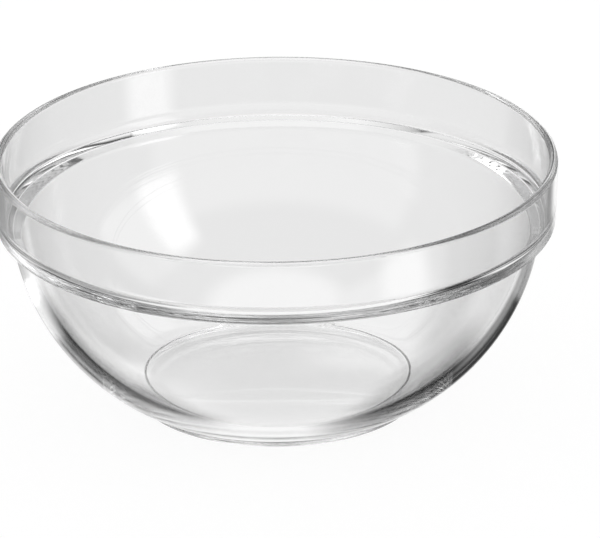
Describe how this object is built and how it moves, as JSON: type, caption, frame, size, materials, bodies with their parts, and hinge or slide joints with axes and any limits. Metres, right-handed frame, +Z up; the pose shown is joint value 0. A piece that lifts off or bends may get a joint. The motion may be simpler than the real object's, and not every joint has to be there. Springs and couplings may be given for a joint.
{
  "type": "prep bowl",
  "caption": "Round stacking prep bowl of clear pressed glass, with a rounded rim, a tapered band above a stacking ledge, a slanted shoulder inside it, a curved wall and a low foot with a hollow underside.",
  "frame": {"origin": "centre of the circle on which the foot ring stands", "axes": "+Z up along the bowl's axis; X and Y are alike, because the bowl is round"},
  "size_m": [0.23, 0.23, 0.104],
  "materials": {
    "clear_glass": "clear, fire-polished, gloss"
  },
  "bodies": {
    "root": {"glass_bowl": "clear_glass"}
  },
  "joints": []
}
